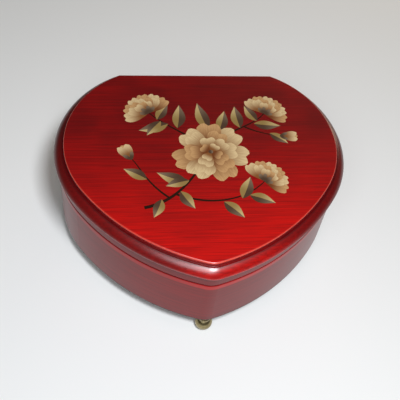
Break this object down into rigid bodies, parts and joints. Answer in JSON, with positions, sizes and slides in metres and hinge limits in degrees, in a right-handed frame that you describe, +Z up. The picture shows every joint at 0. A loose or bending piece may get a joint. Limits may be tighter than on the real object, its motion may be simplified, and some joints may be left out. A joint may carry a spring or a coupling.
{
  "type": "wind up music box",
  "caption": "Heart-shaped lacquered wooden box with a hinged moulded lid, brass ball feet and a wind up cylinder music movement under a clear inner cover.",
  "frame": {"origin": "middle of the bounding box on the plane that the feet stand on", "axes": "+X across the wide lobes, -Y towards the rounded point, +Y towards the flat hinged back, +Z up"},
  "size_m": [0.16, 0.1376, 0.0665],
  "materials": {
    "red_lacquer": "gloss lacquer over stained veneer",
    "velvet": "short pile velvet",
    "brass": "lacquered, a little aged",
    "steel": "bright ground",
    "zinc": "die cast zinc, gold washed",
    "clear_sheet": "clear acrylic sheet"
  },
  "bodies": {
    "case": {"case_wall": "red_lacquer", "base_panel": "red_lacquer", "foot_front": "brass", "foot_left": "brass", "foot_right": "brass", "bay_front": "red_lacquer", "bay_left": "red_lacquer", "bay_right": "red_lacquer", "movement_cover": "clear_sheet", "floor_pad": "velvet", "ring_rolls": "velvet", "hinge_leaves_case": "brass", "hinge_pins": "brass", "hinge_screws_case": "brass", "bedplate": "zinc", "comb": "steel", "comb_screws": "steel", "governor_cock": "brass", "cock_screw": "steel", "movement_screws": "steel", "lever_post": "steel", "pin_bush": "brass"},
    "lid": {"lid_panel": "red_lacquer", "lid_rim": "red_lacquer", "lid_lining": "velvet", "hinge_leaves_lid": "brass", "hinge_screws_lid": "brass"},
    "key": {"winding_arbor": "steel", "winding_key": "steel"},
    "barrel": {"spring_barrel": "brass", "barrel_cover": "brass", "mainspring": "steel"},
    "cylinder": {"cylinder": "brass", "cylinder_arbor": "steel", "cylinder_pinion": "brass", "great_wheel": "brass"},
    "second_wheel": {"second_arbor": "steel", "second_pinion": "brass", "worm_wheel": "brass"},
    "governor": {"governor_worm": "steel", "governor_fly": "brass"},
    "stop_lever": {"stop_lever": "steel"},
    "start_pin": {"start_pin": "steel"}
  },
  "joints": [
    {"name": "lid_hinge", "type": "hinge", "parent": "case", "child": "lid", "pos_m": [0, 0.06715, 0.05], "axis": [-1, 0, 0], "range_deg": [0, 95]},
    {"name": "key_turn", "type": "hinge", "parent": "case", "child": "key", "pos_m": [-0.018, 0.0395, 0.011], "axis": [0, 0, -1], "continuous": true},
    {"name": "cylinder_spin", "type": "hinge", "parent": "case", "child": "cylinder", "pos_m": [0.006, 0.0395, 0.02958], "axis": [1, 0, 0], "continuous": true},
    {"name": "barrel_spin", "type": "hinge", "parent": "case", "child": "barrel", "pos_m": [-0.018, 0.0395, 0.022], "axis": [0, 0, 1], "continuous": true},
    {"name": "second_wheel_spin", "type": "hinge", "parent": "case", "child": "second_wheel", "pos_m": [0.021, 0.0485, 0.02958], "axis": [1, 0, 0], "continuous": true},
    {"name": "governor_spin", "type": "hinge", "parent": "case", "child": "governor", "pos_m": [0.0217, 0.0541, 0.02958], "axis": [0, 0, 1], "continuous": true},
    {"name": "stop_lever_swing", "type": "hinge", "parent": "case", "child": "stop_lever", "pos_m": [0.0142, 0.0569, 0.0338], "axis": [0, 0, 1], "range_deg": [0, 10]},
    {"name": "start_pin_slide", "type": "slide", "parent": "case", "child": "start_pin", "axis": [0, 0, 1], "range_m": [0, 0.004]}
  ],
  "couplings": [
    {"joint": "barrel_spin", "follows": "cylinder_spin", "ratio": 0.3},
    {"joint": "second_wheel_spin", "follows": "cylinder_spin", "ratio": -4},
    {"joint": "governor_spin", "follows": "cylinder_spin", "ratio": 80},
    {"joint": "stop_lever_swing", "follows": "lid_hinge", "ratio": 0.105},
    {"joint": "start_pin_slide", "follows": "lid_hinge", "m_per_rad": 0.0024}
  ]
}
